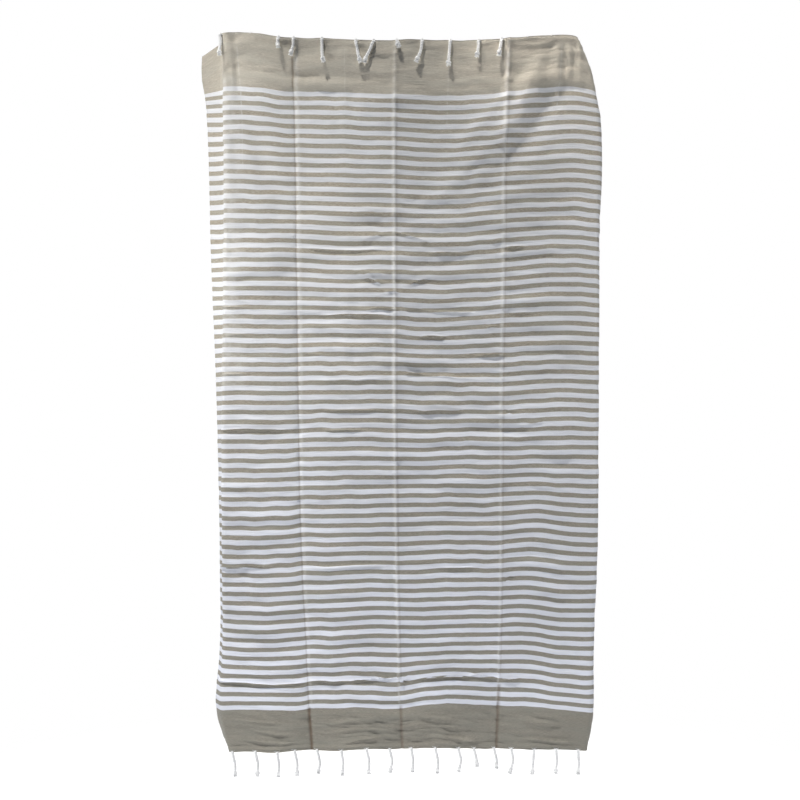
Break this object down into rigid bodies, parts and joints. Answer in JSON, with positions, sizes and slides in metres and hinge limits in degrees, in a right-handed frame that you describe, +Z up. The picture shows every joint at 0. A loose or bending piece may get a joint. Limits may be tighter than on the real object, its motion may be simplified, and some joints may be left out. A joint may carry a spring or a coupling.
{
  "type": "hammam towel",
  "caption": "Flat-woven striped cotton hammam towel with plain end bands and knotted tassels, hanging by its upper corners with its margins curled back.",
  "frame": {"origin": "middle of the towel's top edge, between the two places it is held at", "axes": "+X to the right across the cloth, +Y to the back, +Z up; the front faces -Y"},
  "size_m": [0.954, 0.1581, 1.7681],
  "materials": {
    "cotton_weave": "matte flat weave, white and beige stripes with beige end bands",
    "cotton_yarn": "matte twisted ivory cotton yarn"
  },
  "bodies": {
    "root": {"towel": "cotton_weave", "fringe_head": "cotton_yarn", "fringe_foot": "cotton_yarn"}
  },
  "joints": []
}
